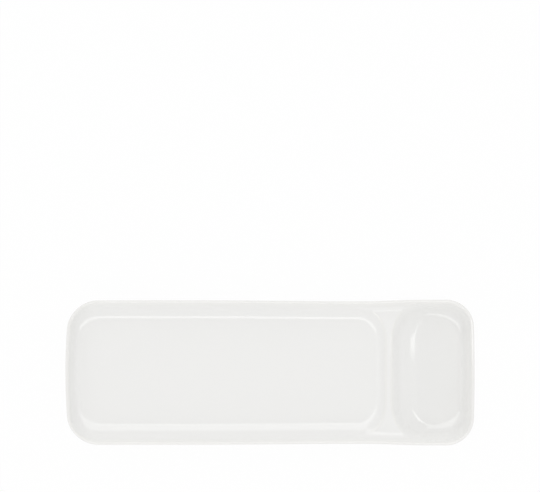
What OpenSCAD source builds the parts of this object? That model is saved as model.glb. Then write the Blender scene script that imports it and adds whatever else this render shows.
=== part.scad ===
// Olive dish: a long shallow tray and a deeper pit well in one glazed porcelain casting.
// Millimetres, +Z up, +X towards the pit well, origin under the middle of the dish on the table.

/* [Outline] */
// Length over the rim
dish_length = 260; // [220:1:300]
// Width over the rim at the pit well, the widest place
dish_width = 92.6; // [80:0.2:105]
// How much each side is drawn in at the olive tray
tray_draw_in = 0.4; // [0:0.1:3]
// How much each side is drawn in at the waist beside the divider
waist_draw_in = 1; // [0:0.1:4]
// Distance from the tray end to where the sides start to draw in to the waist
tray_wide_inset = 85; // [40:1:110]
// Distance from the well end to the waist
waist_inset = 72; // [60:1:90]
// Distance from the well end to where the well reaches its full width
well_wide_inset = 30; // [22:1:36]
// Radius of the bowed tray end
tray_end_radius = 380; // [200:10:900]
// Radius of the bowed well end, which is nearly straight
well_end_radius = 1000; // [200:10:2000]
// Corner radius of the rim at the tray end
tray_corner = 18; // [15:0.5:24]
// Corner radius of the rim at the well end
well_corner = 17; // [15:0.5:20]

/* [Compartments] */
// Depth of the olive tray below the rim
tray_depth = 8; // [6:0.5:12]
// Depth of the pit well below the rim
well_depth = 13.5; // [10:0.5:20]
// Run of the tray's coved walls along the sides, from the lip to the floor
tray_cove = 11.4; // [8:0.2:14]
// Run of the tray's coved wall at its end
tray_end_cove = 7.6; // [5:0.2:11]
// Run of the well's coved walls along the sides
well_cove = 9.2; // [7:0.2:12]
// Run of the well's coved wall at its end
well_end_cove = 5.6; // [4:0.2:8]
// Corner radius of the tray's floor
tray_floor_corner = 12.5; // [9:0.5:20]
// Corner radius of the well's floor
well_floor_corner = 17; // [12:0.5:19]
// Power of the coves along the sides: a larger one is steeper at the lip
cove_power = 2.6; // [2:0.1:3]
// Power of the coves at both ends and on the divider's well side
end_power = 4; // [2.5:0.1:5]

/* [Divider] */
// Distance from the well end to the middle of the divider's crest
divider_inset = 54.2; // [48:0.2:70]
// Drop of the divider's crest below the rim
divider_drop = 4.8; // [3:0.2:5.6]
// Thickness of the divider at its crest
divider_thickness = 7; // [5:0.2:9]
// Run of the divider's flank on the tray side
tray_flank = 6.5; // [5:0.1:9]
// Run of the divider's flank on the well side
well_flank = 18; // [14:0.5:21]
// Reach of the rounding along the divider's crest
crest_round = 5.5; // [1:0.5:7]
// Corner radius of both compartments beside the divider at the rim, measured along the divider
divider_corner = 24; // [18:0.5:27]
// Corner radius of both floors beside the divider, measured along it
divider_floor_corner = 16; // [14:0.5:22]
// Corner radius of both compartments beside the divider at the rim, measured across it
divider_corner_across = 17; // [13:0.5:21]
// Reach of the fillet where the divider's crest meets the side walls
crest_fillet = 1.5; // [0.5:0.1:5]

/* [Lip] */
// Thickness of the lip
lip_thickness = 2.2; // [1.8:0.1:4]
// Radius of the lip's outer edge
lip_radius = 1.2; // [0.8:0.1:1.6]
// Reach of the rounding on the lip's inner edge
lip_round = 2; // [0.8:0.1:3]

/* [Floor and foot] */
// Thickness of the floor
floor_thickness = 4.2; // [3:0.1:7]
// Distance from the rim's outline to the foot
foot_inset = 10; // [6:0.5:13]
// Width of the glazed foot
foot_width = 3.6; // [2.4:0.1:5]
// Height of the glazed part of the foot under the well
foot_glazed_height = 1.1; // [0.6:0.1:5]
// Height of the bare ring at the bottom of the foot
foot_bare_height = 1.2; // [0.6:0.1:3]

/* [Glaze] */
// Thickness of the glaze
glaze_thickness = 0.3; // [0.15:0.05:0.5]

/* [Hidden] */

half_length = dish_length / 2;
rim_z = foot_bare_height + foot_glazed_height + floor_thickness + max(tray_depth, well_depth);
tray_z = rim_z - tray_depth;
well_z = rim_z - well_depth;
crest_z = rim_z - divider_drop;
well_half = dish_width / 2;
tray_half = well_half - tray_draw_in;
waist_half = well_half - waist_draw_in;
tray_wide_x = tray_wide_inset - half_length;
waist_x = half_length - waist_inset;
well_wide_x = half_length - well_wide_inset;
divider_x = half_length - divider_inset;

// Each flank crosses the crest's height half a thickness from the divider's middle.
tray_edge_x = divider_x - divider_thickness / 2 + tray_flank * flank_share(tray_depth, cove_power);
well_edge_x = divider_x + divider_thickness / 2 - well_flank * flank_share(well_depth, end_power);

// The corners beside the divider are ovals: lengths across it are stretched by this to make them round.
corner_stretch = divider_corner / divider_corner_across;

// Rings of the surface: how many points they take along each stretch of the outline
end_steps = 3;
corner_steps = 6;
tray_steps = 6;
divider_steps = 20;
well_steps = 2;
half_ring = 2 * end_steps + 2 * corner_steps + tray_steps + divider_steps + well_steps;
ring_size = 2 * half_ring;

// Rings of the surface: how many it takes across each stretch of the section
floor_steps = 3;
wall_steps = 8;
lip_steps = 3;
side_steps = 5;

// The rings on the coved walls crowd towards the lip by this power.
wall_crowding = 1.4;

// The innermost ring of the floor and of the underside
core_half_width = 7;
core_corner = 6;
core_end_inset = 22;

// The tightest corner of an inset ring, and the least gap between its stretches
least_corner = 3;
seam_gap = 1;

function mix(a, b, share) = a + (b - a) * share;
function ease(share) = (1 - cos(180 * min(max(share, 0), 1))) / 2;
function smooth_min(a, b, reach) =
    min(a, b) - pow(max(reach - abs(a - b), 0), 2) / (4 * reach);
function flank_share(depth, power) = 1 - pow((depth - divider_drop) / depth, 1 / power);

// Half the width over the rim at x: drawn in at the waist, constant towards both ends
function half_width(x) =
    x < waist_x
    ? mix(tray_half, waist_half, ease((x - tray_wide_x) / (waist_x - tray_wide_x)))
    : mix(waist_half, well_half, ease((x - waist_x) / (well_wide_x - waist_x)));

// How far the bowed end on x's side falls back at y
function end_bow(x, y) = y * y / (2 * (x < 0 ? tray_end_radius : well_end_radius));

// Share of the way down a coved wall, 0 at its top edge and 1 at the floor, from the gaps to the end wall
// and to the side wall and the runs of both. Across a corner its level lines are arcs, whose radius goes
// from the top corner's to the floor corner's.
function cove_share(end_gap, side_gap, end_run, side_run, top_corner, floor_corner) =
    let (
        growth = floor_corner - top_corner,
        end_rate = end_run + growth,
        side_rate = side_run + growth,
        u = top_corner - end_gap,
        v = top_corner - side_gap,
        a = end_rate * end_rate + side_rate * side_rate - growth * growth,
        b = end_rate * u + side_rate * v - top_corner * growth,
        c = u * u + v * v - top_corner * top_corner,
        reach = b * b - a * c,
        share = reach > 0 ? -c / (b + sqrt(reach)) : 0,
        in_corner = reach > 0 && u + end_rate * share > 0 && v + side_rate * share > 0
    )
    in_corner ? share : min(end_gap / end_run, side_gap / side_run);

// Height on a coved wall, whose power goes from the sides' to the ends' within a corner's length of the end
function cove_height(share, floor_z, depth, end_gap, corner) =
    floor_z + depth * pow(max(1 - share, 0), mix(cove_power, end_power, ease(1 - end_gap / corner)));

function side_gap(x, y) = half_width(x) - lip_thickness - abs(y);
function end_gap(x, y) = half_length - lip_thickness - end_bow(x, y) - abs(x);

function tray_height(x, y) =
    let (
        gap = side_gap(x, y),
        end = x < 0 ? end_gap(x, y) : half_length,
        outer = cove_share(end, gap, tray_end_cove, tray_cove,
            tray_corner - lip_thickness, tray_floor_corner),
        inner = cove_share((tray_edge_x - x) * corner_stretch, gap, tray_flank * corner_stretch, tray_cove,
            divider_corner, divider_floor_corner)
    )
    cove_height(min(outer, inner), tray_z, tray_depth, end, tray_corner);

function well_height(x, y) =
    let (
        gap = side_gap(x, y),
        end = x > 0 ? end_gap(x, y) : half_length,
        outer = cove_share(end, gap, well_end_cove, well_cove,
            well_corner - lip_thickness, well_floor_corner),
        inner = cove_share((x - well_edge_x) * corner_stretch, gap, well_flank * corner_stretch, well_cove,
            divider_corner, divider_floor_corner)
    )
    cove_height(min(outer, inner), well_z, well_depth, min(end, x - well_edge_x), well_corner);

// The higher of the divider's crest and the tray's side walls, with a fillet between them
function crest_height(x, y) =
    let (wall = tray_z + tray_depth * pow(max(1 - side_gap(x, y) / tray_cove, 0), cove_power))
    -smooth_min(-crest_z, -wall, crest_fillet);

// How strongly the crest's rounding acts at x: full over the divider, none past its flanks and their corners
function crest_reach(x) =
    crest_round * (1 - ease((divider_x - x) / (tray_flank + divider_corner_across)))
    * (1 - ease((x - divider_x) / (well_flank + divider_corner_across)));

// The glazed surface inside the lip
function top_height(x, y) =
    let (
        hollow = min(tray_height(x, y), well_height(x, y)),
        reach = crest_reach(x)
    )
    smooth_min(rim_z, reach > 0 ? smooth_min(crest_height(x, y), hollow, reach) : hollow, lip_round);

// The underside, which steps down from the tray to the well under the divider's two flanks
function under_height(x) =
    mix(tray_z, well_z, ease((x - divider_x + tray_flank) / (tray_flank + well_flank))) - floor_thickness;

// One ring in plan, from the middle of the tray end along the front to the well end and back: corners holds
// its corner radii at the tray and at the well
function plan_ring(side_inset, end_inset, corners) =
    let (
        front = concat(
            [for (i = [0:end_steps - 1]) end_point(-1, i / end_steps, side_inset, end_inset, corners[0])],
            [for (i = [0:corner_steps - 1])
                corner_point(-1, 90 * i / corner_steps, side_inset, end_inset, corners[0])],
            side_points(side_inset, end_inset, corners),
            [for (i = [corner_steps - 1:-1:0])
                corner_point(1, 90 * i / corner_steps, side_inset, end_inset, corners[1])],
            [for (i = [end_steps - 1:-1:0]) end_point(1, i / end_steps, side_inset, end_inset, corners[1])]
        )
    )
    concat(front, [for (i = [half_ring - 1:-1:1]) [front[i].x, -front[i].y]]);

function end_half_width(end) = end < 0 ? tray_half : well_half;

function end_point(end, share, side_inset, end_inset, corner) =
    let (y = share * (end_half_width(end) - side_inset - corner))
    [end * (half_length - end_inset - end_bow(end, y)), -y];

function corner_point(end, angle, side_inset, end_inset, corner) =
    let (y = end_half_width(end) - side_inset - corner * (1 - sin(angle)))
    [end * (half_length - end_inset - end_bow(end, y) - corner * (1 - cos(angle))), -y];

// Points along the front side, closest together over the divider
function side_points(side_inset, end_inset, corners) =
    let (
        tray_end_x = corner_point(-1, 90, side_inset, end_inset, corners[0]).x,
        well_end_x = corner_point(1, 90, side_inset, end_inset, corners[1]).x,
        divider_start = tray_edge_x - tray_flank - divider_corner_across,
        divider_end = min(well_edge_x + well_flank + divider_corner_across, well_end_x - seam_gap),
        places = concat(
            [for (i = [0:tray_steps - 1]) mix(tray_end_x, divider_start, i / tray_steps)],
            [for (i = [0:divider_steps - 1]) mix(divider_start, divider_end, i / divider_steps)],
            [for (i = [0:well_steps]) mix(divider_end, well_end_x, i / well_steps)]
        )
    )
    [for (x = places) [x, side_inset - half_width(x)]];

function outer_corners(inset) =
    [for (corner = [tray_corner, well_corner]) max(corner - inset, least_corner)];

// Corner radii of a ring part of the way down the coved walls
function cove_corners(share) = [
    mix(tray_corner - lip_thickness, tray_floor_corner, share),
    mix(well_corner - lip_thickness, well_floor_corner, share)
];

function top_ring(plan) = [for (p = plan) [p.x, p.y, top_height(p.x, p.y)]];
function level_ring(plan, z) = [for (p = plan) [p.x, p.y, z]];
function under_ring(plan) = [for (p = plan) [p.x, p.y, under_height(p.x)]];
function outer_plan(inset) = plan_ring(inset, inset, outer_corners(inset));

cove_run = max(tray_cove, well_cove);
floor_inset = lip_thickness + cove_run;
floor_plan = plan_ring(floor_inset, floor_inset, cove_corners(1));
core_side_inset = min(tray_half, waist_half) - core_half_width;
core_plan = plan_ring(core_side_inset, core_end_inset, [core_corner, core_corner]);

// The glazed surface from the middle of the floor over the lip and down to the bare foot
function coat_rings() = concat(
    [for (i = [0:floor_steps - 1]) top_ring(mix(core_plan, floor_plan, i / floor_steps))],
    [for (i = [wall_steps:-1:0])
        let (share = pow(i / wall_steps, wall_crowding), inset = lip_thickness + cove_run * share)
        top_ring(plan_ring(inset, inset, cove_corners(share)))],
    [top_ring(outer_plan(mix(lip_radius, lip_thickness, 0.5)))],
    [for (i = [lip_steps:-1:1])
        let (angle = 90 * i / lip_steps)
        level_ring(outer_plan(lip_radius * (1 - cos(angle))), rim_z - lip_radius * (1 - sin(angle)))],
    [for (i = [0:side_steps]) side_ring(90 * i / side_steps)],
    [level_ring(outer_plan(foot_inset), foot_bare_height)]
);

// The outside wall is a quarter ellipse in section, from the lip round to the foot.
function side_ring(angle) =
    [for (p = outer_plan(foot_inset * (1 - cos(angle))))
        [p.x, p.y, mix(rim_z - lip_radius, under_height(p.x), sin(angle))]];

// The glazed underside from the bare foot to the middle
function base_rings() =
    let (inside = outer_plan(foot_inset + foot_width))
    concat(
        [level_ring(inside, foot_bare_height)],
        [for (i = [0:floor_steps]) under_ring(mix(inside, core_plan, i / floor_steps))]
    );

// The rings moved in by the glaze's thickness, square to the surface
function under_glaze(rings) =
    let (last = len(rings) - 1)
    [for (k = [0:last])
        [for (j = [0:ring_size - 1])
            let (
                across = rings[min(k + 1, last)][j] - rings[max(k - 1, 0)][j],
                along = rings[k][(j + 1) % ring_size] - rings[k][(j + ring_size - 1) % ring_size],
                outward = cross(across, along)
            )
            rings[k][j] - glaze_thickness * outward / norm(outward)]];

function backwards(list) = [for (i = [len(list) - 1:-1:0]) list[i]];

// The closed solid inside a run of rings, capped across its first and last ring
module skin(rings) {
    last = (len(rings) - 1) * ring_size;
    bands = [for (k = [0:len(rings) - 2], j = [0:ring_size - 1])
        let (
            a = k * ring_size + j,
            b = k * ring_size + (j + 1) % ring_size,
            c = b + ring_size,
            d = a + ring_size
        )
        each [[a, b, c], [a, c, d]]];
    polyhedron([for (ring = rings) each ring],
        concat(bands, [for (f = cap(0)) backwards(f)], cap(last)), convexity = 6);
}

// Triangles that close a ring: a fan over each end, and between them pairs of points across from each other
function cap(start) =
    let (first = end_steps + corner_steps, last = half_ring - first)
    concat(
        [for (i = [ring_size - first:ring_size + first - 2])
            [start + first, start + i % ring_size, start + (i + 1) % ring_size]],
        [for (j = [first:last - 1])
            let (a = start + j, b = a + 1, c = start + ring_size - j - 1, d = c + 1)
            each [[a, b, c], [a, c, d]]],
        [for (i = [last + 1:ring_size - last - 1]) [start + last, start + i, start + i + 1]]
    );

coat_outside = coat_rings();
coat_inside = under_glaze(coat_outside);
base_outside = base_rings();
base_inside = under_glaze(base_outside);

module porcelain_body() {
    color("ivory") skin(concat(coat_inside, base_inside));
}

module foot_ring() {
    color("linen")
        linear_extrude(foot_bare_height)
            difference() {
                polygon([for (p = coat_inside[len(coat_inside) - 1]) [p.x, p.y]]);
                polygon([for (p = base_inside[0]) [p.x, p.y]]);
            }
}

module glaze_coat() {
    color("white") skin(concat(coat_outside, backwards(coat_inside)));
}

module base_glaze() {
    color("whitesmoke") skin(concat(backwards(base_inside), base_outside));
}

porcelain_body();
foot_ring();
glaze_coat();
base_glaze();
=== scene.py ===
"""Olive dish: a long shallow tray and a deeper pit well in one glazed porcelain casting.

The file is laid out as an add-on and run as a script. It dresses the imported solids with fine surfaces
worked out from the same sizes. Metres, +Z up, +X towards the pit well, origin under the dish's middle.
"""
import math

import bpy
import numpy as np
from bpy.props import FloatProperty, FloatVectorProperty, PointerProperty
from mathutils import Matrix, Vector


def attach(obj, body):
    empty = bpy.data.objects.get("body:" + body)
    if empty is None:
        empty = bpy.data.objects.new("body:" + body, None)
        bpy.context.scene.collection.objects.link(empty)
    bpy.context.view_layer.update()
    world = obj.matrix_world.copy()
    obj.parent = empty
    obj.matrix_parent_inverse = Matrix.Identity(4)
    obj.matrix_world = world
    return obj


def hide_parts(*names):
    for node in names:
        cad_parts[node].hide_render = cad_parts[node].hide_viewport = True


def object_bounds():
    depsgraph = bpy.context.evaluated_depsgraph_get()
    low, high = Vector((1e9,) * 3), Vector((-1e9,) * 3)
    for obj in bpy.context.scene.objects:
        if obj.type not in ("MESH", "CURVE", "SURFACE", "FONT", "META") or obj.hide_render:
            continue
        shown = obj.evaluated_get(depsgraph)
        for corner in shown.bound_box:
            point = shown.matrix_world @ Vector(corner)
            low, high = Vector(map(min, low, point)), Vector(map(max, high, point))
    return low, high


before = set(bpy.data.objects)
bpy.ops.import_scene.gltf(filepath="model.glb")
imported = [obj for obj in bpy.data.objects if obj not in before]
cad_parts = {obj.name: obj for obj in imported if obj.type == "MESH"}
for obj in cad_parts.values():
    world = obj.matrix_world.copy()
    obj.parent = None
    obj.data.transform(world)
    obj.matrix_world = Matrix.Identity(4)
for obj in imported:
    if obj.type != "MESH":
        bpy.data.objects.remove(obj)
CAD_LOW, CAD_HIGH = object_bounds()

bl_info = {
    "name": "Olive dish",
    "version": (1, 0, 0),
    "blender": (4, 5, 0),
    "location": "3D View > Sidebar > Olive dish",
    "description": "Glazed porcelain dish with an olive tray and a pit well",
    "category": "Add Mesh",
}

BODY = "root"
MM = 0.001
SENSOR_WIDTH = 36.0
WHITE = (1.0, 1.0, 1.0, 1.0)

# Attributes of the glaze's points: how far it has pooled there, with painted shade, and how hollow it is,
# for painted light in coves and painted shade on crests
POOLING_AND_SHADE = "pooling_and_shade"
BEND = "bend"

# Refractive index of glaze and porcelain, and the middle of a noise field
REFRACTION = 1.5
NOISE_MIDDLE = 0.5

# Sockets of a Mix node that blends colours: the factor, both colours and the result
MIX_FACTOR, MIX_FIRST, MIX_SECOND, MIX_RESULT = 0, 6, 7, 2

# Points that a ring of the surface takes along each stretch of the outline
END_COLUMNS = 14
CORNER_COLUMNS = 22
TRAY_COLUMNS = 36
DIVIDER_COLUMNS = 88
WELL_COLUMNS = 10
HALF_RING = 2 * END_COLUMNS + 2 * CORNER_COLUMNS + TRAY_COLUMNS + DIVIDER_COLUMNS + WELL_COLUMNS
RING = 2 * HALF_RING

# Rings that the surface takes across each stretch of the section
FLOOR_ROWS = 24
WALL_ROWS = 36
LIP_TOP_ROWS = 4
LIP_ROWS = 9
SIDE_ROWS = 22
FILLET_ROWS = 6
SKIRT_ROWS = 3
BEAD_ROWS = 4
FOOT_FLAT_ROWS = 4

# A hidden surface keeps one ring of so many.
HIDDEN_ROW_STEP = 2

# The rings on the coved walls crowd towards the lip by this power.
WALL_CROWDING = 1.4

# The innermost ring of the floor and of the underside, a narrow slot that a strip closes
CORE_HALF_WIDTH = 0.5 * MM
CORE_CORNER = 0.4 * MM
CORE_END_INSET = 34 * MM

# The tightest corner of an inset ring, and the least gap between its stretches
LEAST_CORNER = 3 * MM
SEAM_GAP = 1 * MM

# The slow waves of the fired surface: radians a metre along x and along y, and where each wave starts
WAVES = ((71, 23, 0.4), (-38, 96, 1.9), (123, 61, 3.1), (54, -141, 5.2))

# The least reach, and the least square of a step, that is divided by
LEAST_REACH = 1e-9
LEAST_SQUARE = 1e-12

# Faces that meet at more than this angle keep a sharp edge.
SHARP_ANGLE = math.radians(50)


def length(name, description, millimetres):
    """A length in the sidebar, written in millimetres and kept in metres."""
    return FloatProperty(name=name, description=description, default=millimetres * MM, unit='LENGTH',
                         precision=4)


def share(name, description, value):
    """A plain number in the sidebar."""
    return FloatProperty(name=name, description=description, default=value, precision=3)


def tilt(name, description, degrees):
    """An angle in the sidebar, written in degrees and kept in radians."""
    return FloatProperty(name=name, description=description, default=math.radians(degrees), subtype='ANGLE')


def colour(name, description, value):
    """A linear colour in the sidebar."""
    return FloatVectorProperty(name=name, description=description, default=value, size=3, subtype='COLOR',
                               min=0, max=1)


class DishSizes(bpy.types.PropertyGroup):
    """Sizes of the dish: those of its solids, and of the finer forms that show only here."""

    dish_length: length("Length", "Length over the rim", (CAD_HIGH.x - CAD_LOW.x) / MM)
    dish_width: length("Width", "Width over the rim at the pit well", (CAD_HIGH.y - CAD_LOW.y) / MM)
    tray_draw_in: length("Tray draw-in", "How much each side is drawn in at the olive tray", 0.4)
    waist_draw_in: length("Waist draw-in", "How much each side is drawn in beside the divider", 1)
    tray_wide_inset: length("Tray straight", "From the tray end to where the sides start to draw in", 85)
    waist_inset: length("Waist inset", "From the well end to the waist", 72)
    well_wide_inset: length("Well straight", "From the well end to where the well is at full width", 30)
    tray_end_radius: length("Tray end radius", "Radius of the bowed tray end", 380)
    well_end_radius: length("Well end radius", "Radius of the bowed well end", 1000)
    tray_corner: length("Tray corner", "Corner radius of the rim at the tray end", 18)
    well_corner: length("Well corner", "Corner radius of the rim at the well end", 17)

    tray_depth: length("Tray depth", "Depth of the olive tray below the rim", 8)
    well_depth: length("Well depth", "Depth of the pit well below the rim", 13.5)
    tray_cove: length("Tray cove", "Run of the tray's coved walls along the sides", 11.4)
    tray_end_cove: length("Tray end cove", "Run of the tray's coved wall at its end", 7.6)
    well_cove: length("Well cove", "Run of the well's coved walls along the sides", 9.2)
    well_end_cove: length("Well end cove", "Run of the well's coved wall at its end", 5.6)
    tray_floor_corner: length("Tray floor corner", "Corner radius of the tray's floor", 12.5)
    well_floor_corner: length("Well floor corner", "Corner radius of the well's floor", 17)
    cove_power: share("Cove power", "Power of the side coves: a larger one is steeper at the lip", 2.6)
    end_power: share("End power", "Power of the coves at both ends and on the divider's well side", 4)

    divider_inset: length("Divider inset", "From the well end to the middle of the divider's crest", 54.2)
    divider_drop: length("Divider drop", "Drop of the divider's crest below the rim", 4.8)
    divider_thickness: length("Divider thickness", "Thickness of the divider at its crest", 7)
    tray_flank: length("Tray flank", "Run of the divider's flank on the tray side", 6.5)
    well_flank: length("Well flank", "Run of the divider's flank on the well side", 18)
    crest_round: length("Crest rounding", "Reach of the rounding along the divider's crest", 5.5)
    divider_corner: length("Divider corner", "Corner radius beside the divider at the rim, along it", 24)
    divider_floor_corner: length("Divider floor corner", "Floors' corner radius along the divider", 16)
    divider_corner_across: length("Divider corner across", "Corner radius beside the divider, across it", 17)
    crest_fillet: length("Crest fillet", "Reach of the fillet where the crest meets the side walls", 1.5)

    lip_thickness: length("Lip thickness", "Thickness of the lip", 2.2)
    lip_radius: length("Lip radius", "Radius of the lip's outer edge", 1.2)
    lip_round: length("Lip rounding", "Reach of the rounding on the lip's inner edge", 2)

    floor_thickness: length("Floor thickness", "Thickness of the floor", 4.2)
    foot_inset: length("Foot inset", "From the rim's outline to the foot", 10)
    foot_width: length("Foot width", "Width of the glazed foot", 3.6)
    foot_glazed_height: length("Glazed foot height", "Height of the glazed foot under the well", 1.1)
    foot_bare_height: length("Bare foot height", "Height of the bare ring at the bottom", 1.2)
    foot_fillet: length("Foot fillet", "Radius where the underside turns into the foot", 0.6)
    foot_edge: length("Foot edge", "Radius of the bare ring's ground edges", 0.45)

    glaze_thickness: length("Glaze thickness", "Thickness of the glaze", 0.3)
    wobble: length("Wobble", "Height of the slow waves that casting and firing leave", 0.03)


class DishFinish(bpy.types.PropertyGroup):
    """Colours and gloss of the dish."""

    glaze: colour("Glaze", "White glaze on the walls and floors", (0.905, 0.903, 0.889))
    # Painted light: a lighter glaze colour in the coves, which stands in for light that fills them
    cove_painted_light: colour("Cove glaze", "Glaze where a cove has kept it thick", (0.932, 0.930, 0.916))
    # Pooled glaze, made darker as painted shade on the well's floor
    pooled_glaze_and_shade: colour("Pooled glaze", "Glaze pooled on the well's floor", (0.872, 0.872, 0.858))
    # Thin glaze on the lip and crest, made darker there as painted shade
    thin_glaze_and_shade: colour("Thin glaze", "Glaze where it has drawn thin", (0.890, 0.884, 0.863))
    glaze_roughness: share("Glaze roughness", "Roughness of the fired glaze", 0.07)
    base_glaze: colour("Base glaze", "Glaze under the dish", (0.842, 0.840, 0.824))
    porcelain: colour("Porcelain", "Fired body under the glaze", (0.82, 0.80, 0.76))
    bare_foot: colour("Bare foot", "Ground ring without glaze", (0.78, 0.75, 0.69))
    base_roughness: share("Base roughness", "Roughness of the glaze under the dish", 0.12)
    porcelain_roughness: share("Porcelain roughness", "Roughness of the fired body", 0.62)
    foot_roughness: share("Foot roughness", "Roughness of the ground ring", 0.78)
    # The bend's reach sets how fully a cove takes painted light and a crest takes painted shade
    bend_reach: length("Bend reach", "Radius of a bend that thickens or thins the glaze fully", 3.5)
    # Painted shade: the pool darkens the well's floor as well as marking pooled glaze
    pool_and_shade_depth: share("Pool depth", "How far the glaze has pooled in the middle of the well's floor", 0.8)
    pool_inset: length("Pool inset", "From the well end to the middle of the pool", 27)
    pool_length: length("Pool length", "How far the pool reaches along the dish from its middle", 19)
    pool_width: length("Pool width", "How far the pool reaches across the dish from its middle", 44)


class DishStage(bpy.types.PropertyGroup):
    """Camera, floor and lights."""

    camera_height: length("Camera height", "Height of the camera above the rim", 600)
    camera_offset: length("Camera offset", "How far the camera hangs behind the dish's middle", 80.4)
    view_width: length("View width", "Width of the picture at the rim's height", 342.4)
    floor_size: length("Floor size", "Length of the floor's sides", 8000)
    floor: colour("Floor", "Colour of the floor", (0.95, 0.95, 0.95))
    floor_glow: share("Floor glow", "Share of the floor that shows as plain white", 0.96)
    sky_strength: share("Sky strength", "Level of the soft light from all sides", 0.855)
    sky_lean: share("Sky lean", "How much brighter the sky is low down along the dish's sides", 0.45)
    sky_tilt: share("Sky tilt", "How much brighter the sky is low down towards the tray end", 0.02)
    softbox_distance: length("Softbox distance", "Distance of the softboxes from the dish", 1400)
    front_spread: tilt("Front softbox spread", "How far it reaches to each side of the dish's middle", 19)
    front_near: tilt("Front softbox near edge", "Tilt of its near edge from straight above", 13)
    front_far: tilt("Front softbox far edge", "Tilt of its far edge from straight above", 28)
    front_glow: share("Front softbox glow", "Brightness of the front softbox over white", 2.1)
    back_spread: tilt("Back softbox spread", "How far it reaches to each side of the dish's middle", 19)
    back_near: tilt("Back softbox near edge", "Tilt of its near edge from straight above", -2)
    back_far: tilt("Back softbox far edge", "Tilt of its far edge from straight above", 50)
    back_glow: share("Back softbox glow", "Brightness of the back softbox over white", 1.3)
    strip_far: tilt("Strip far edge", "Tilt of its far edge: it starts at the back softbox's near edge", 5)
    strip_glow: share("Strip glow", "Brightness that the strip adds to the back softbox", 0.75)
    window_side: tilt("Window side", "Tilt of the window's middle towards the pit well", 22.5)
    window_spread: tilt("Window spread", "How far the window reaches to each side of its middle", 6)
    window_near: tilt("Window near edge", "Tilt of its near edge from straight above", 2)
    window_far: tilt("Window far edge", "Tilt of its far edge from straight above", 6.3)
    window_glow: share("Window glow", "Brightness of the window over white", 2.8)


def mix(a, b, amount):
    """The value that lies the given share of the way from a to b."""
    return a + (b - a) * amount


def ease(amount):
    """Half a cosine wave that climbs from 0 to 1."""
    return (1 - np.cos(np.pi * np.clip(amount, 0, 1))) / 2


def smooth_min(a, b, reach):
    """The lower of two heights, less a parabola where they lie within the reach of each other."""
    reach = np.maximum(reach, LEAST_REACH)
    return np.minimum(a, b) - np.maximum(reach - np.abs(a - b), 0) ** 2 / (4 * reach)


def column(start, stop, count, endpoint=True):
    """Evenly spaced values as a column, one for each ring."""
    return np.linspace(start, stop, count, endpoint=endpoint)[:, None]


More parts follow.
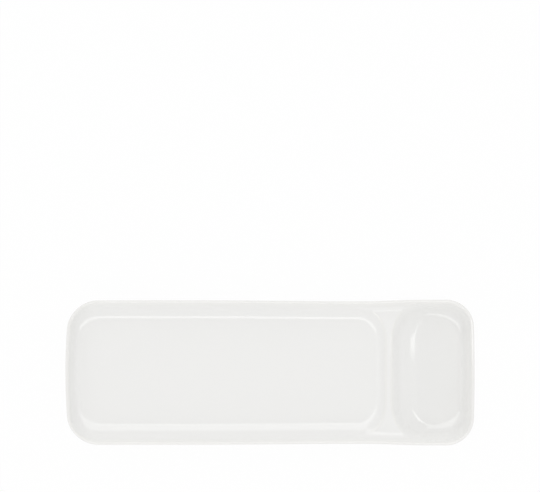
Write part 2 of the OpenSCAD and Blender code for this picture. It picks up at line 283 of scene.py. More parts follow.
class DishForm:
    """The dish's surfaces as formulas on whole arrays: x and y in plan give a height."""

    def __init__(self, sizes):
        self.sizes = s = sizes
        self.half_length = s.dish_length / 2
        self.rim_z = (s.foot_bare_height + s.foot_glazed_height + s.floor_thickness
                      + max(s.tray_depth, s.well_depth))
        self.tray_z = self.rim_z - s.tray_depth
        self.well_z = self.rim_z - s.well_depth
        self.crest_z = self.rim_z - s.divider_drop
        self.well_half = s.dish_width / 2
        self.tray_half = self.well_half - s.tray_draw_in
        self.waist_half = self.well_half - s.waist_draw_in
        self.tray_wide_x = s.tray_wide_inset - self.half_length
        self.waist_x = self.half_length - s.waist_inset
        self.well_wide_x = self.half_length - s.well_wide_inset
        self.divider_x = self.half_length - s.divider_inset
        half_crest = s.divider_thickness / 2
        self.tray_edge_x = (self.divider_x - half_crest
                            + s.tray_flank * self.flank_share(s.tray_depth, s.cove_power))
        self.well_edge_x = (self.divider_x + half_crest
                            - s.well_flank * self.flank_share(s.well_depth, s.end_power))
        self.cove_run = max(s.tray_cove, s.well_cove)
        self.corner_stretch = s.divider_corner / s.divider_corner_across

    def flank_share(self, depth, power):
        """Share of a flank's run from its top edge to the height of the crest."""
        return 1 - ((depth - self.sizes.divider_drop) / depth) ** (1 / power)

    def half_width(self, x):
        """Half the width over the rim: eased in to the waist and out again, constant towards both ends."""
        tray = mix(self.tray_half, self.waist_half,
                   ease((x - self.tray_wide_x) / (self.waist_x - self.tray_wide_x)))
        well = mix(self.waist_half, self.well_half,
                   ease((x - self.waist_x) / (self.well_wide_x - self.waist_x)))
        return np.where(x < self.waist_x, tray, well)

    def end_bow(self, x, y):
        """How far the bowed end on x's side falls back: y squared over twice its radius."""
        return y * y / (2 * np.where(x < 0, self.sizes.tray_end_radius, self.sizes.well_end_radius))

    def side_gap(self, x, y):
        """Distance in from the lip's inner edge at the side."""
        return self.half_width(x) - self.sizes.lip_thickness - np.abs(y)

    def end_gap(self, x, y):
        """Distance in from the lip's inner edge at the end."""
        return self.half_length - self.sizes.lip_thickness - self.end_bow(x, y) - np.abs(x)

    @staticmethod
    def cove_share(end_gap, side_gap, end_run, side_run, top_corner, floor_corner):
        """Share of the way down a coved wall, 0 at its top edge and 1 at the floor.

        Along a straight wall it is the gap over the run. Across a corner the level lines are arcs whose
        radius goes from the top corner's to the floor corner's, so the share solves a quadratic.
        """
        growth = floor_corner - top_corner
        end_rate, side_rate = end_run + growth, side_run + growth
        u = top_corner - end_gap
        v = top_corner - side_gap
        a = end_rate ** 2 + side_rate ** 2 - growth ** 2
        b = end_rate * u + side_rate * v - top_corner * growth
        c = u * u + v * v - top_corner ** 2
        reach = b * b - a * c
        amount = np.divide(-c, b + np.sqrt(np.maximum(reach, 0)), out=np.zeros_like(c), where=reach > 0)
        in_corner = (reach > 0) & (u + end_rate * amount > 0) & (v + side_rate * amount > 0)
        return np.where(in_corner, amount, np.minimum(end_gap / end_run, side_gap / side_run))

    def cove_height(self, amount, floor_z, depth, end_gap, corner):
        """Height on a coved wall: the floor plus the depth times a power of what is left of the run.

        The power eases from the sides' to the ends' within a corner's length of the end.
        """
        power = mix(self.sizes.cove_power, self.sizes.end_power, ease(1 - end_gap / corner))
        return floor_z + depth * np.maximum(1 - amount, 0) ** power

    def tray_height(self, x, y):
        """The olive tray: the lesser share of its outer cove and of the divider's flank."""
        s = self.sizes
        gap = self.side_gap(x, y)
        end_gap = np.where(x < 0, self.end_gap(x, y), self.half_length)
        outer = self.cove_share(end_gap, gap, s.tray_end_cove, s.tray_cove,
                                s.tray_corner - s.lip_thickness, s.tray_floor_corner)
        inner = self.cove_share((self.tray_edge_x - x) * self.corner_stretch, gap,
                                s.tray_flank * self.corner_stretch, s.tray_cove,
                                s.divider_corner, s.divider_floor_corner)
        return self.cove_height(np.minimum(outer, inner), self.tray_z, s.tray_depth, end_gap, s.tray_corner)

    def well_height(self, x, y):
        """The pit well, worked out as the tray is, from the other side of the divider."""
        s = self.sizes
        gap = self.side_gap(x, y)
        end_gap = np.where(x > 0, self.end_gap(x, y), self.half_length)
        outer = self.cove_share(end_gap, gap, s.well_end_cove, s.well_cove,
                                s.well_corner - s.lip_thickness, s.well_floor_corner)
        inner = self.cove_share((x - self.well_edge_x) * self.corner_stretch, gap,
                                s.well_flank * self.corner_stretch, s.well_cove,
                                s.divider_corner, s.divider_floor_corner)
        nearest = np.minimum(end_gap, x - self.well_edge_x)
        return self.cove_height(np.minimum(outer, inner), self.well_z, s.well_depth, nearest, s.well_corner)

    def crest_height(self, x, y):
        """The higher of the divider's crest and the tray's side walls, with a fillet between them."""
        s = self.sizes
        left = np.maximum(1 - self.side_gap(x, y) / s.tray_cove, 0)
        wall = self.tray_z + s.tray_depth * left ** s.cove_power
        return -smooth_min(-self.crest_z, -wall, s.crest_fillet)

    def crest_reach(self, x):
        """Reach of the crest's rounding: full over the divider, none past its flanks and their corners."""
        s = self.sizes
        return (s.crest_round * (1 - ease((self.divider_x - x) / (s.tray_flank + s.divider_corner_across)))
                * (1 - ease((x - self.divider_x) / (s.well_flank + s.divider_corner_across))))

    def top_height(self, x, y):
        """The glazed surface inside the lip: tray, well, crest and rim joined by smooth minima."""
        hollow = np.minimum(self.tray_height(x, y), self.well_height(x, y))
        inside = smooth_min(self.crest_height(x, y), hollow, self.crest_reach(x))
        inside = np.where(self.crest_reach(x) > 0, inside, hollow)
        return smooth_min(self.rim_z, inside, self.sizes.lip_round)

    def under_height(self, x):
        """The underside, which steps down from the tray to the well under the divider's two flanks."""
        s = self.sizes
        step = ease((x - self.divider_x + s.tray_flank) / (s.tray_flank + s.well_flank))
        return mix(self.tray_z, self.well_z, step) - s.floor_thickness

    def end_stretch(self, end, side_inset, end_inset, corner):
        """Half an end and its corner in plan: a bowed straight and then a quarter circle, for all rings."""
        half_width = self.tray_half if end < 0 else self.well_half
        along = np.arange(END_COLUMNS) / END_COLUMNS
        angle = np.arange(CORNER_COLUMNS + 1) / CORNER_COLUMNS * np.pi / 2
        straight_y = along * (half_width - side_inset - corner)
        corner_y = half_width - side_inset - corner * (1 - np.sin(angle))
        y = np.hstack([straight_y, corner_y])
        fall = np.hstack([0 * straight_y, corner * (1 - np.cos(angle))])
        return end * (self.half_length - end_inset - self.end_bow(end, y) - fall), -y

    def plan(self, side_inset, end_inset, corners):
        """Rings in plan, one a row, from the middle of the tray end along the front to the well and back."""
        tray_x, tray_y = self.end_stretch(-1, side_inset, end_inset, corners[0])
        well_x, well_y = self.end_stretch(1, side_inset, end_inset, corners[1])
        s = self.sizes
        start = self.tray_edge_x - s.tray_flank - s.divider_corner_across
        stop = np.minimum(self.well_edge_x + s.well_flank + s.divider_corner_across,
                          well_x[:, -1:] - SEAM_GAP)
        side_x = np.hstack([
            mix(tray_x[:, -1:], start, np.arange(1, TRAY_COLUMNS) / TRAY_COLUMNS),
            mix(start, stop, np.arange(DIVIDER_COLUMNS) / DIVIDER_COLUMNS),
            mix(stop, well_x[:, -1:], np.arange(WELL_COLUMNS) / WELL_COLUMNS),
        ])
        side_y = side_inset - self.half_width(side_x)
        front_x = np.hstack([tray_x, side_x, well_x[:, ::-1]])
        front_y = np.hstack([tray_y, side_y, well_y[:, ::-1]])
        return np.hstack([front_x, front_x[:, -2:0:-1]]), np.hstack([front_y, -front_y[:, -2:0:-1]])

    def outer_plan(self, inset):
        """Rings set in from the rim's outline, with the corners tightened by as much."""
        s = self.sizes
        corners = [np.maximum(corner - inset, LEAST_CORNER) for corner in (s.tray_corner, s.well_corner)]
        return self.plan(inset, inset, corners)

    def cove_plan(self, amount):
        """Rings on the coved walls, with corners between the lip's and the floor's."""
        s = self.sizes
        inset = s.lip_thickness + self.cove_run * amount
        corners = [mix(s.tray_corner - s.lip_thickness, s.tray_floor_corner, amount),
                   mix(s.well_corner - s.lip_thickness, s.well_floor_corner, amount)]
        return self.plan(inset, inset, corners)

    def core_plan(self):
        """The innermost ring, a narrow slot along the dish's middle."""
        inset = np.full((1, 1), min(self.tray_half, self.waist_half) - CORE_HALF_WIDTH)
        return self.plan(inset, np.full((1, 1), CORE_END_INSET), [np.full((1, 1), CORE_CORNER)] * 2)

    def coat(self):
        """The glazed surface from the middle of the floor over the lip and down to the bare foot.

        In section: the hollows' heights up to the lip, a quarter circle over its outer edge, a quarter
        ellipse round to the underside, a fillet and the foot's straight side.
        """
        s = self.sizes
        quarter = np.pi / 2
        core_x, core_y = self.core_plan()
        floor_x, floor_y = self.cove_plan(np.ones((1, 1)))
        across = column(0, 1, FLOOR_ROWS, endpoint=False)
        top = [
            (mix(core_x, floor_x, across), mix(core_y, floor_y, across)),
            self.cove_plan(column(1, 0, WALL_ROWS + 1) ** WALL_CROWDING),
            self.outer_plan(column(s.lip_thickness, s.lip_radius, LIP_TOP_ROWS + 1)[1:]),
        ]
        rows = [(x, y, self.top_height(x, y)) for x, y in top]

        angle = column(quarter, 0, LIP_ROWS + 1)[1:]
        x, y = self.outer_plan(s.lip_radius * (1 - np.cos(angle)))
        rows.append((x, y, self.rim_z - s.lip_radius * (1 - np.sin(angle)) + 0 * x))

        angle = column(0, quarter, SIDE_ROWS + 1)[1:]
        x, y = self.outer_plan((s.foot_inset - s.foot_fillet) * (1 - np.cos(angle)))
        rows.append((x, y, mix(self.rim_z - s.lip_radius, self.under_height(x), np.sin(angle))))

        angle = column(0, quarter, FILLET_ROWS + 1)[1:]
        x, y = self.outer_plan(s.foot_inset - s.foot_fillet * (1 - np.sin(angle)))
        rows.append((x, y, self.under_height(x) - s.foot_fillet * (1 - np.cos(angle))))

        x, y = self.outer_plan(np.full((SKIRT_ROWS, 1), s.foot_inset))
        skirt_end = s.foot_bare_height + s.glaze_thickness
        across = column(0, 1, SKIRT_ROWS + 1)[1:]
        rows.append((x, y, mix(self.under_height(x) - s.foot_fillet, skirt_end, across)))
        return join_rows(rows)

    def coat_bead(self):
        """The rounded end of the glaze above the bare ring, a quarter circle as wide as the glaze."""
        s = self.sizes
        angle = column(0, np.pi / 2, BEAD_ROWS + 1)[1:]
        x, y = self.outer_plan(s.foot_inset + s.glaze_thickness * (1 - np.cos(angle)))
        return join_rows([(x, y, s.foot_bare_height + s.glaze_thickness * (1 - np.sin(angle)) + 0 * x)])

    def base(self):
        """The glazed underside from the foot's inner side, through a fillet, to the middle."""
        s = self.sizes
        quarter = np.pi / 2
        inset = s.foot_inset + s.foot_width
        x, y = self.outer_plan(np.full((SKIRT_ROWS, 1), inset))
        skirt_end = s.foot_bare_height + s.glaze_thickness
        across = column(0, 1, SKIRT_ROWS)
        rows = [(x, y, mix(skirt_end, self.under_height(x) - s.foot_fillet, across))]

        angle = column(0, quarter, FILLET_ROWS + 1)[1:]
        x, y = self.outer_plan(inset + s.foot_fillet * (1 - np.cos(angle)))
        rows.append((x, y, self.under_height(x) - s.foot_fillet * (1 - np.sin(angle))))

        core_x, core_y = self.core_plan()
        across = column(0, 1, FLOOR_ROWS + 1)[1:]
        x, y = mix(x[-1:], core_x, across), mix(y[-1:], core_y, across)
        rows.append((x, y, self.under_height(x)))
        return join_rows(rows)

    def base_bead(self):
        """The rounded end of the base glaze, a quarter circle as wide as the glaze."""
        s = self.sizes
        angle = column(0, np.pi / 2, BEAD_ROWS + 1)[:-1]
        x, y = self.outer_plan(s.foot_inset + s.foot_width - s.glaze_thickness * (1 - np.sin(angle)))
        return join_rows([(x, y, s.foot_bare_height + s.glaze_thickness * (1 - np.cos(angle)) + 0 * x)])

    def foot(self):
        """The bare ring's section carried round the foot: straight sides, ground edges and a flat sole."""
        s = self.sizes
        quarter = np.pi / 2
        outside = s.foot_inset + s.glaze_thickness
        inside = s.foot_inset + s.foot_width - s.glaze_thickness
        angle = column(0, quarter, BEAD_ROWS + 1)
        flat = column(outside + s.foot_edge, inside - s.foot_edge, FOOT_FLAT_ROWS + 1)[1:-1]
        inset = np.vstack([
            [[outside]],
            outside + s.foot_edge * (1 - np.cos(angle)),
            flat,
            inside - s.foot_edge * (1 - np.sin(angle)),
            [[inside]],
        ])
        z = np.vstack([
            [[s.foot_bare_height]],
            s.foot_edge * (1 - np.sin(angle)),
            0 * flat,
            s.foot_edge * (1 - np.cos(angle)),
            [[s.foot_bare_height]],
        ])
        x, y = self.outer_plan(inset)
        return join_rows([(x, y, z + 0 * x)])

    def waved(self, surface):
        """The surface moved along its normal by slow waves, which fade out at the foot."""
        s = self.sizes
        x, y, z = surface[..., 0], surface[..., 1], surface[..., 2]
        wave = sum(np.sin(along * x + across * y + start) for along, across, start in WAVES) / len(WAVES)
        fade = ease((z - s.foot_bare_height - s.glaze_thickness) / s.foot_glazed_height)
        return surface + (s.wobble * wave * fade)[..., None] * outward(surface)

    def under_glaze(self, surface):
        """The surface moved in by the glaze's thickness, square to itself."""
        return surface - self.sizes.glaze_thickness * outward(surface)


def join_rows(rows):
    """Rings stacked to one array of points, indexed by ring, place along the ring and axis."""
    return np.vstack([np.stack(row, axis=-1) for row in rows])


def steps(surface):
    """Differences across the rings and along them, over two cells where there are two."""
    across = np.gradient(surface, axis=0)
    along = (np.roll(surface, -1, axis=1) - np.roll(surface, 1, axis=1)) / 2
    return across, along


def outward(surface):
    """Unit normals: the step across the rings crossed with the step along them."""
    across, along = steps(surface)
    normal = np.cross(across, along)
    return normal / np.linalg.norm(normal, axis=-1, keepdims=True)


def hollowness(surface, reach):
    """How strongly the surface is hollow, from -1 on a sharp crest to 1 in a tight cove.

    The bend each way is the change of the normal along a step, over the step's length squared.
    """
    normal = outward(surface)
    bends = [(change * step).sum(axis=-1) / np.maximum((step * step).sum(axis=-1), LEAST_SQUARE)
             for change, step in zip(steps(normal), steps(surface))]
    return np.clip(-reach * (bends[0] + bends[1]), -1, 1)


def pool(coat, form, finish):
    """How far the glaze has pooled in the well, which also sets the painted shade there: an oval dome in
    plan, which is left out past the lip.
    """
    along = (coat[..., 0] - form.half_length + finish.pool_inset) / finish.pool_length
    across = coat[..., 1] / finish.pool_width
    depth = finish.pool_and_shade_depth * np.maximum(1 - along ** 2 - across ** 2, 0)
    depth[FLOOR_ROWS + WALL_ROWS + LIP_TOP_ROWS:] = 0
    return depth


def thinned(surface):
    """Some of the rings of a hidden surface, with the first and the last."""
    return np.vstack([surface[:-1:HIDDEN_ROW_STEP], surface[-1:]])


def ring_cap(first_index):
    """Faces that close a ring: a fan over each end, and strips between points across from each other."""
    first = END_COLUMNS + CORNER_COLUMNS
    last = HALF_RING - first
    tray = np.arange(RING - first, RING + first - 1)
    well = np.arange(last + 1, RING - last)
    strip = np.arange(first, last)
    triangles = np.vstack([
        np.stack([np.full_like(tray, first), tray % RING, (tray + 1) % RING], axis=1),
        np.stack([np.full_like(well, last), well, (well + 1) % RING], axis=1),
    ])
    quads = np.stack([strip, strip + 1, RING - strip - 1, RING - strip], axis=1)
    return triangles + first_index, quads + first_index


def ring_bands(rows, closed):
    """Four-sided faces between neighbouring rings, and between the last and the first if it is closed."""
    k, j = np.meshgrid(np.arange(rows if closed else rows - 1), np.arange(RING), indexing="ij")
    here, there = k * RING, (k + 1) % rows * RING
    following = (j + 1) % RING
    return np.stack([here + j, there + j, there + following, here + following], axis=-1).reshape(-1, 4)


def mesh_object(name, surface, closed=False):
    """A smooth mesh over a stack of rings, closed in itself or capped across its first and last ring."""
    rows = len(surface)
    quads = ring_bands(rows, closed)
    triangles = np.empty((0, 3), int)
    if not closed:
        start_triangles, start_quads = ring_cap(0)
        end_triangles, end_quads = ring_cap((rows - 1) * RING)
        quads = np.vstack([quads, start_quads, end_quads[:, ::-1]])
        triangles = np.vstack([start_triangles, end_triangles[:, ::-1]])
    mesh = bpy.data.meshes.new(name)
    mesh.vertices.add(rows * RING)
    mesh.vertices.foreach_set("co", surface.astype(np.float32).ravel())
    corners = np.concatenate([quads.ravel(), triangles.ravel()])
    mesh.loops.add(len(corners))
    mesh.loops.foreach_set("vertex_index", corners.astype(np.int32))
    starts = np.concatenate([4 * np.arange(len(quads)), quads.size + 3 * np.arange(len(triangles))])
    mesh.polygons.add(len(starts))
    mesh.polygons.foreach_set("loop_start", starts.astype(np.int32))
    mesh.polygons.foreach_set("use_smooth", np.ones(len(starts), bool))
    mesh.update(calc_edges=True)
    if mesh.validate():
        raise RuntimeError(f"{name} has faces that are not sound")
    mesh.set_sharp_from_angle(angle=SHARP_ANGLE)
    piece = bpy.data.objects.new(name, mesh)
    bpy.context.scene.collection.objects.link(piece)
    return piece


def keep_on_points(piece, name, values):
    """Store one number for each point of the piece."""
    attribute = piece.data.attributes.new(name, 'FLOAT', 'POINT')
    attribute.data.foreach_set("value", values.astype(np.float32).ravel())


def seat(piece, node, material):
    """Let a piece stand for its solid: it takes its body and its material, and the solid is hidden."""
    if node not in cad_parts:
        raise RuntimeError(f"the packed model has no {node}")
    piece.data.materials.append(material)
    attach(piece, BODY)
    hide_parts(node)


class Flow:
    """One socket of a node tree. Sums, differences and products of flows add Math nodes."""

    def __init__(self, tree, socket=None):
        self.tree = tree
        self.socket = socket

    def node(self, kind, settings=None, inputs=None, output=0):
        """Add a node: its settings first, then a value or a link for each input. Returns one output."""
        made = self.tree.nodes.new(kind)
        for name, value in (settings or {}).items():
            setattr(made, name, value)
        for key, value in (inputs or {}).items():
            if isinstance(value, Flow):
                self.tree.links.new(value.socket, made.inputs[key])
            else:
                made.inputs[key].default_value = value
        return Flow(self.tree, made.outputs[output] if made.outputs else None)

    def maths(self, operation, first, second):
        """Add one Math node."""
        return self.node("ShaderNodeMath", {"operation": operation}, {0: first, 1: second})

    def __add__(self, other):
        return self.maths('ADD', self, other)

    def __radd__(self, other):
        return self.maths('ADD', other, self)

    def __sub__(self, other):
        return self.maths('SUBTRACT', self, other)

    def __rsub__(self, other):
        return self.maths('SUBTRACT', other, self)

    def __mul__(self, other):
        return self.maths('MULTIPLY', self, other)

    def __rmul__(self, other):
        return self.maths('MULTIPLY', other, self)

    def place(self):
        """Where a point lies on its piece, in metres."""
        return self.node("ShaderNodeTexCoord", output="Object")

    def attribute(self, name):
        """The number that the piece's points keep under a name."""
        return self.node("ShaderNodeAttribute", {"attribute_name": name}, output="Fac")

    def noise(self, place, scale, detail=2.0):
        """A soft random field from 0 to 1 at so many waves a metre."""
        return self.node("ShaderNodeTexNoise", None,
                         {"Vector": place, "Scale": scale, "Detail": detail}, "Fac")

    def bump(self, height, strength, distance):
        """The normal tilted by a field of heights, which are given in shares of a distance."""
        return self.node("ShaderNodeBump", None,
                         {"Height": height, "Strength": strength, "Distance": distance}, "Normal")

    def blend(self, factor, first, second):
        """A colour between two, by a factor."""
        return self.node("ShaderNodeMix", {"data_type": 'RGBA', "clamp_factor": True},
                         {MIX_FACTOR: factor, MIX_FIRST: first, MIX_SECOND: second}, MIX_RESULT)


def opaque(rgb):
    """A colour with full alpha."""
    return (*rgb, 1.0)


def toned_down(rgb, level):
    """A colour brought down to a share of itself, with full alpha."""
    return opaque([level * part for part in rgb])


def blank_material(name):
    """A material with an empty tree, and a flow to add its nodes to."""
    material = bpy.data.materials.new(name)
    material.use_nodes = True
    material.node_tree.nodes.clear()
    return material, Flow(material.node_tree)


def finish_surface(tree, tone, roughness, normal):
    """Close a material with the main shader and its output."""
    shader = tree.node("ShaderNodeBsdfPrincipled", None, {
        "Base Color": tone,
        "Roughness": roughness,
        "IOR": REFRACTION,
        "Normal": normal,
    })
    tree.node("ShaderNodeOutputMaterial", None, {"Surface": shader})


def glaze_material(finish):
    """White glaze: lightened by painted light in the coves, greyer in the well's pool from pooled glaze and
    painted shade, thin, warm and darkened by painted shade on the lip and crest.
    """
    cloud_tint, patch_tint = 0.5, 0.35
    cloud_height, peel_height = 0.2, 0.012
    patch_roughness, pool_roughness = 0.05, 0.02
    material, tree = blank_material("white_glaze")
    place = tree.place()
    pooling_and_shade = tree.attribute(POOLING_AND_SHADE)
    bend = tree.attribute(BEND)
    cloud = tree.noise(place, scale=28.0)
    patch = tree.noise(place, scale=75.0, detail=3.0)
    peel = tree.noise(place, scale=620.0, detail=1.0)
    # Pooled glaze in the well, also darkened there as painted shade
    pooled = tree.blend(pooling_and_shade + cloud_tint * (cloud - NOISE_MIDDLE),
                        opaque(finish.glaze), opaque(finish.pooled_glaze_and_shade))
    # Painted light: the coves are lightened by how hollow they are
    coved = tree.blend(bend, pooled, opaque(finish.cove_painted_light))
    # Thin glaze on the lip and crest and in random patches, darkened on the lip and crest as painted shade
    tone = tree.blend(patch_tint * (patch - NOISE_MIDDLE) - bend, coved, opaque(finish.thin_glaze_and_shade))
    roughness = finish.glaze_roughness + patch_roughness * (patch - NOISE_MIDDLE) + pool_roughness * pooling_and_shade
    height = peel * peel_height + cloud * cloud_height
    finish_surface(tree, tone, roughness, tree.bump(height, strength=0.5, distance=0.2 * MM))
    return material


def base_glaze_material(finish):
    """Glaze under the dish: a little duller, with clouds and fine specks."""
    cloud_tint, speck_tint = 0.6, 0.3
    cloud_height, speck_height = 0.3, 0.02
    cloud_roughness = 0.1
    material, tree = blank_material("base_glaze")
    place = tree.place()
    cloud = tree.noise(place, scale=40.0, detail=3.0)
    speck = tree.noise(place, scale=900.0, detail=1.0)
    tone = tree.blend(cloud_tint * cloud + speck_tint * speck,
                      opaque(finish.base_glaze), toned_down(finish.base_glaze, level=0.93))
    roughness = finish.base_roughness + cloud_roughness * cloud
    height = cloud * cloud_height + speck * speck_height
    finish_surface(tree, tone, roughness, tree.bump(height, strength=0.6, distance=0.3 * MM))
    return material


def porcelain_material(finish):
    """Fired body under the glaze: matt, fine-grained, with faint clouds."""
    cloud_tint, grain_tint = 0.5, 0.4
    grain_roughness = 0.15
    material, tree = blank_material("porcelain")
    place = tree.place()
    cloud = tree.noise(place, scale=60.0, detail=3.0)
    grain = tree.noise(place, scale=2400.0, detail=1.0)
    tone = tree.blend(cloud_tint * cloud + grain_tint * grain,
                      opaque(finish.porcelain), toned_down(finish.porcelain, level=0.9))
    roughness = finish.porcelain_roughness + grain_roughness * grain
    finish_surface(tree, tone, roughness, tree.bump(grain, strength=0.5, distance=0.1 * MM))
    return material


def bare_foot_material(finish):
    """Ground porcelain without glaze: matt and warm, with grit, faint stains and drag lines."""
    stain_tint, grit_tint, drag_tint = 0.5, 0.3, 0.2
    grit_height, drag_height = 0.6, 0.4
    grit_roughness = 0.14
    drag_stretch = (60.0, 2200.0, 200.0)
    material, tree = blank_material("bare_foot")
    place = tree.place()
    stretched = tree.node("ShaderNodeMapping", None, {"Vector": place, "Scale": drag_stretch})
    drag = tree.noise(stretched, scale=1.0)
    grit = tree.noise(place, scale=1500.0)
    stain = tree.noise(place, scale=90.0, detail=3.0)
    tone = tree.blend(stain_tint * stain + grit_tint * grit + drag_tint * drag,
                      opaque(finish.bare_foot), toned_down(finish.bare_foot, level=0.82))
    roughness = finish.foot_roughness + grit_roughness * grit
    height = grit_height * grit + drag_height * drag
    finish_surface(tree, tone, roughness, tree.bump(height, strength=0.7, distance=0.1 * MM))
    return material


class DISH_OT_porcelain(bpy.types.Operator):
    """Build the porcelain casting that lies under both coats of glaze"""
    bl_idname = "dish.porcelain"
    bl_label = "Porcelain casting"

    def execute(self, context):
        form = DishForm(context.scene.dish_sizes)
        coat = form.under_glaze(form.waved(form.coat()))
        base = form.under_glaze(form.base())
        shoulder = np.stack([coat[-1], base[0]])
        shoulder[..., 2] = form.sizes.foot_bare_height
        piece = mesh_object("porcelain_casting", np.vstack([thinned(coat), shoulder, thinned(base)]))
        seat(piece, "porcelain_body", porcelain_material(context.scene.dish_finish))
        return {'FINISHED'}


class DISH_OT_bare_foot(bpy.types.Operator):
    """Build the ground ring without glaze that the dish stands on"""
    bl_idname = "dish.bare_foot"
    bl_label = "Bare foot ring"

    def execute(self, context):
        form = DishForm(context.scene.dish_sizes)
        piece = mesh_object("bare_foot_ring", form.foot(), closed=True)
        seat(piece, "foot_ring", bare_foot_material(context.scene.dish_finish))
        return {'FINISHED'}


class DISH_OT_glaze(bpy.types.Operator):
    """Build the coat of white glaze over the hollows, the lip and the outside"""
    bl_idname = "dish.glaze"
    bl_label = "Glaze coat"

    def execute(self, context):
        finish = context.scene.dish_finish
        form = DishForm(context.scene.dish_sizes)
        coat = form.waved(form.coat())
        bead = form.coat_bead()
        inside = thinned(form.under_glaze(coat)[::-1])
        piece = mesh_object("glaze_skin", np.vstack([coat, bead, inside]))
        other_rows = ((0, len(bead) + len(inside)), (0, 0))
        keep_on_points(piece, POOLING_AND_SHADE, np.pad(pool(coat, form, finish), other_rows))
        keep_on_points(piece, BEND, np.pad(hollowness(coat, finish.bend_reach), other_rows))
        seat(piece, "glaze_coat", glaze_material(finish))
        return {'FINISHED'}


class DISH_OT_base_glaze(bpy.types.Operator):
    """Build the patch of glaze under the dish, inside the foot ring"""
    bl_idname = "dish.base_glaze"
    bl_label = "Base glaze"

    def execute(self, context):
        form = DishForm(context.scene.dish_sizes)
        base = form.base()
        inside = thinned(form.under_glaze(base)[::-1])
        piece = mesh_object("base_glaze_skin", np.vstack([inside, form.base_bead(), base]))
        seat(piece, "base_glaze", base_glaze_material(context.scene.dish_finish))
        return {'FINISHED'}


def seen_directly(tree):
    """1 for what the camera sees, by itself or in a reflection or through glass."""
    path = "ShaderNodeLightPath"
    return (tree.node(path, output="Is Camera Ray") + tree.node(path, output="Is Glossy Ray")
            + tree.node(path, output="Is Transmission Ray"))


def floor_material(stage):
    """A pale floor, plain white to the eye and in reflections, with a share left for shadows."""
    paper_tint = 0.1
    material, tree = blank_material("floor")
    paper = tree.noise(tree.place(), scale=30.0)
    tone = tree.blend(paper_tint * paper, opaque(stage.floor), WHITE)
    matt = tree.node("ShaderNodeBsdfDiffuse", None, {"Color": tone})
    white = tree.node("ShaderNodeEmission", None, {"Color": WHITE, "Strength": 1.0})
    shown = tree.node("ShaderNodeMixShader", None,
                      {0: seen_directly(tree) * stage.floor_glow, 1: matt, 2: white})
    tree.node("ShaderNodeOutputMaterial", None, {"Surface": shown})
    return material


def light_sky(stage):
    """A sky that is plain white to the eye and in reflections, and a soft light on everything else.

    The soft light is brighter low down along the dish's sides, by the square of y, and towards the tray end.
    """
    world = bpy.data.worlds.new("studio")
    world.use_nodes = True
    world.node_tree.nodes.clear()
    tree = Flow(world.node_tree)
    direction = tree.node("ShaderNodeTexCoord", output="Generated")
    sidewise = tree.node("ShaderNodeSeparateXYZ", None, {"Vector": direction}, "Y")
    lengthwise = tree.node("ShaderNodeSeparateXYZ", None, {"Vector": direction}, "X")
    lean = stage.sky_lean * (sidewise * sidewise) - stage.sky_tilt * lengthwise
    level = stage.sky_strength * (1 + lean)
    soft = tree.node("ShaderNodeBackground", None, {"Color": WHITE, "Strength": level})
    plain = tree.node("ShaderNodeBackground", None, {"Color": WHITE, "Strength": 1.0})
    shown = tree.node("ShaderNodeMixShader", None, {0: seen_directly(tree), 1: soft, 2: plain})
    tree.node("ShaderNodeOutputWorld", None, {"Surface": shown})
    bpy.context.scene.world = world


def hang_softbox(name, stage, aside, near, far, spread, glow):
    """A softbox that faces the dish and shows only in its glaze, so much brighter than white.

    Its tilts from straight above are given to the side, towards the pit well, and to the back. It lies
    square to the line at its middle and is as large as the tilts span there.
    """
    direction = Vector((math.tan(aside), math.tan((near + far) / 2), 1)).normalized()
    lamp = bpy.data.lights.new(name, 'AREA')
    lamp.shape = 'RECTANGLE'
    lamp.size = 2 * stage.softbox_distance * math.tan(spread)
    lamp.size_y = 2 * stage.softbox_distance * math.tan(abs(far - near) / 2)
    lamp.energy = glow * math.pi * lamp.size * lamp.size_y
    holder = bpy.data.objects.new(name, lamp)
    holder.location = stage.softbox_distance * direction
    holder.rotation_euler = (-math.asin(direction.y), math.atan2(direction.x, direction.z), 0)
    holder.visible_camera = False
    holder.visible_diffuse = False
    bpy.context.scene.collection.objects.link(holder)


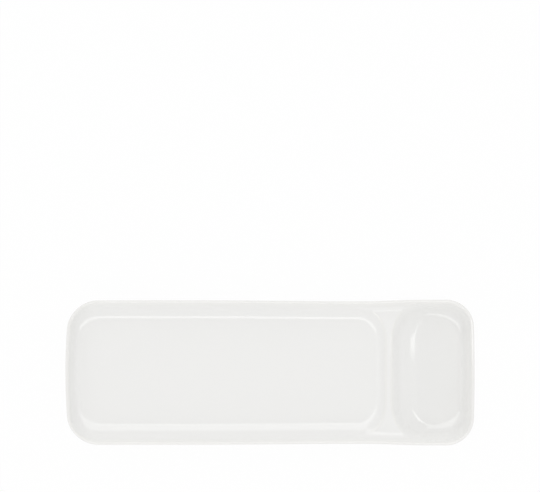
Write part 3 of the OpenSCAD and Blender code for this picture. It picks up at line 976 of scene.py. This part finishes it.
class DISH_OT_stage(bpy.types.Operator):
    """Set up the camera, the floor and the lights"""
    bl_idname = "dish.stage"
    bl_label = "Studio stage"

    def execute(self, context):
        scene = context.scene
        stage = scene.dish_stage
        rim_z = DishForm(scene.dish_sizes).rim_z

        lens = bpy.data.cameras.new("overhead_camera")
        lens.sensor_width = SENSOR_WIDTH
        lens.lens = SENSOR_WIDTH * stage.camera_height / stage.view_width
        camera = bpy.data.objects.new("overhead_camera", lens)
        camera.location = (0, stage.camera_offset, rim_z + stage.camera_height)
        scene.collection.objects.link(camera)
        scene.camera = camera

        half = stage.floor_size / 2
        corners = [(-half, -half, 0), (half, -half, 0), (half, half, 0), (-half, half, 0)]
        mesh = bpy.data.meshes.new("floor")
        mesh.from_pydata(corners, [], [(0, 1, 2, 3)])
        mesh.materials.append(floor_material(stage))
        floor = bpy.data.objects.new("floor", mesh)
        scene.collection.objects.link(floor)

        light_sky(stage)
        hang_softbox("front_softbox", stage, 0, -stage.front_near, -stage.front_far, stage.front_spread,
                     stage.front_glow)
        hang_softbox("back_softbox", stage, 0, stage.back_near, stage.back_far, stage.back_spread,
                     stage.back_glow)
        hang_softbox("strip_softbox", stage, 0, stage.back_near, stage.strip_far, stage.back_spread,
                     stage.strip_glow)
        hang_softbox("window_softbox", stage, stage.window_side, -stage.window_near, -stage.window_far,
                     stage.window_spread, stage.window_glow)
        scene.view_settings.view_transform = 'Standard'
        return {'FINISHED'}


class DISH_PT_sidebar(bpy.types.Panel):
    """Sizes, finish and stage of the dish, with a button for each piece"""
    bl_idname = "DISH_PT_sidebar"
    bl_label = "Olive dish"
    bl_space_type = 'VIEW_3D'
    bl_region_type = 'UI'
    bl_category = "Olive dish"

    def draw(self, context):
        for operator in OPERATORS:
            self.layout.operator(operator.bl_idname)
        for settings in (context.scene.dish_sizes, context.scene.dish_finish, context.scene.dish_stage):
            box = self.layout.box()
            for name in type(settings).__annotations__:
                box.prop(settings, name)


OPERATORS = (DISH_OT_porcelain, DISH_OT_bare_foot, DISH_OT_glaze, DISH_OT_base_glaze, DISH_OT_stage)
CLASSES = (DishSizes, DishFinish, DishStage, *OPERATORS, DISH_PT_sidebar)


def register():
    for entry in CLASSES:
        bpy.utils.register_class(entry)
    bpy.types.Scene.dish_sizes = PointerProperty(type=DishSizes)
    bpy.types.Scene.dish_finish = PointerProperty(type=DishFinish)
    bpy.types.Scene.dish_stage = PointerProperty(type=DishStage)


def unregister():
    del bpy.types.Scene.dish_stage
    del bpy.types.Scene.dish_finish
    del bpy.types.Scene.dish_sizes
    for entry in reversed(CLASSES):
        bpy.utils.unregister_class(entry)


def main():
    """Register the classes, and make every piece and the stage."""
    register()
    bpy.ops.dish.porcelain()
    bpy.ops.dish.bare_foot()
    bpy.ops.dish.glaze()
    bpy.ops.dish.base_glaze()
    bpy.ops.dish.stage()


if __name__ == "__main__":
    main()
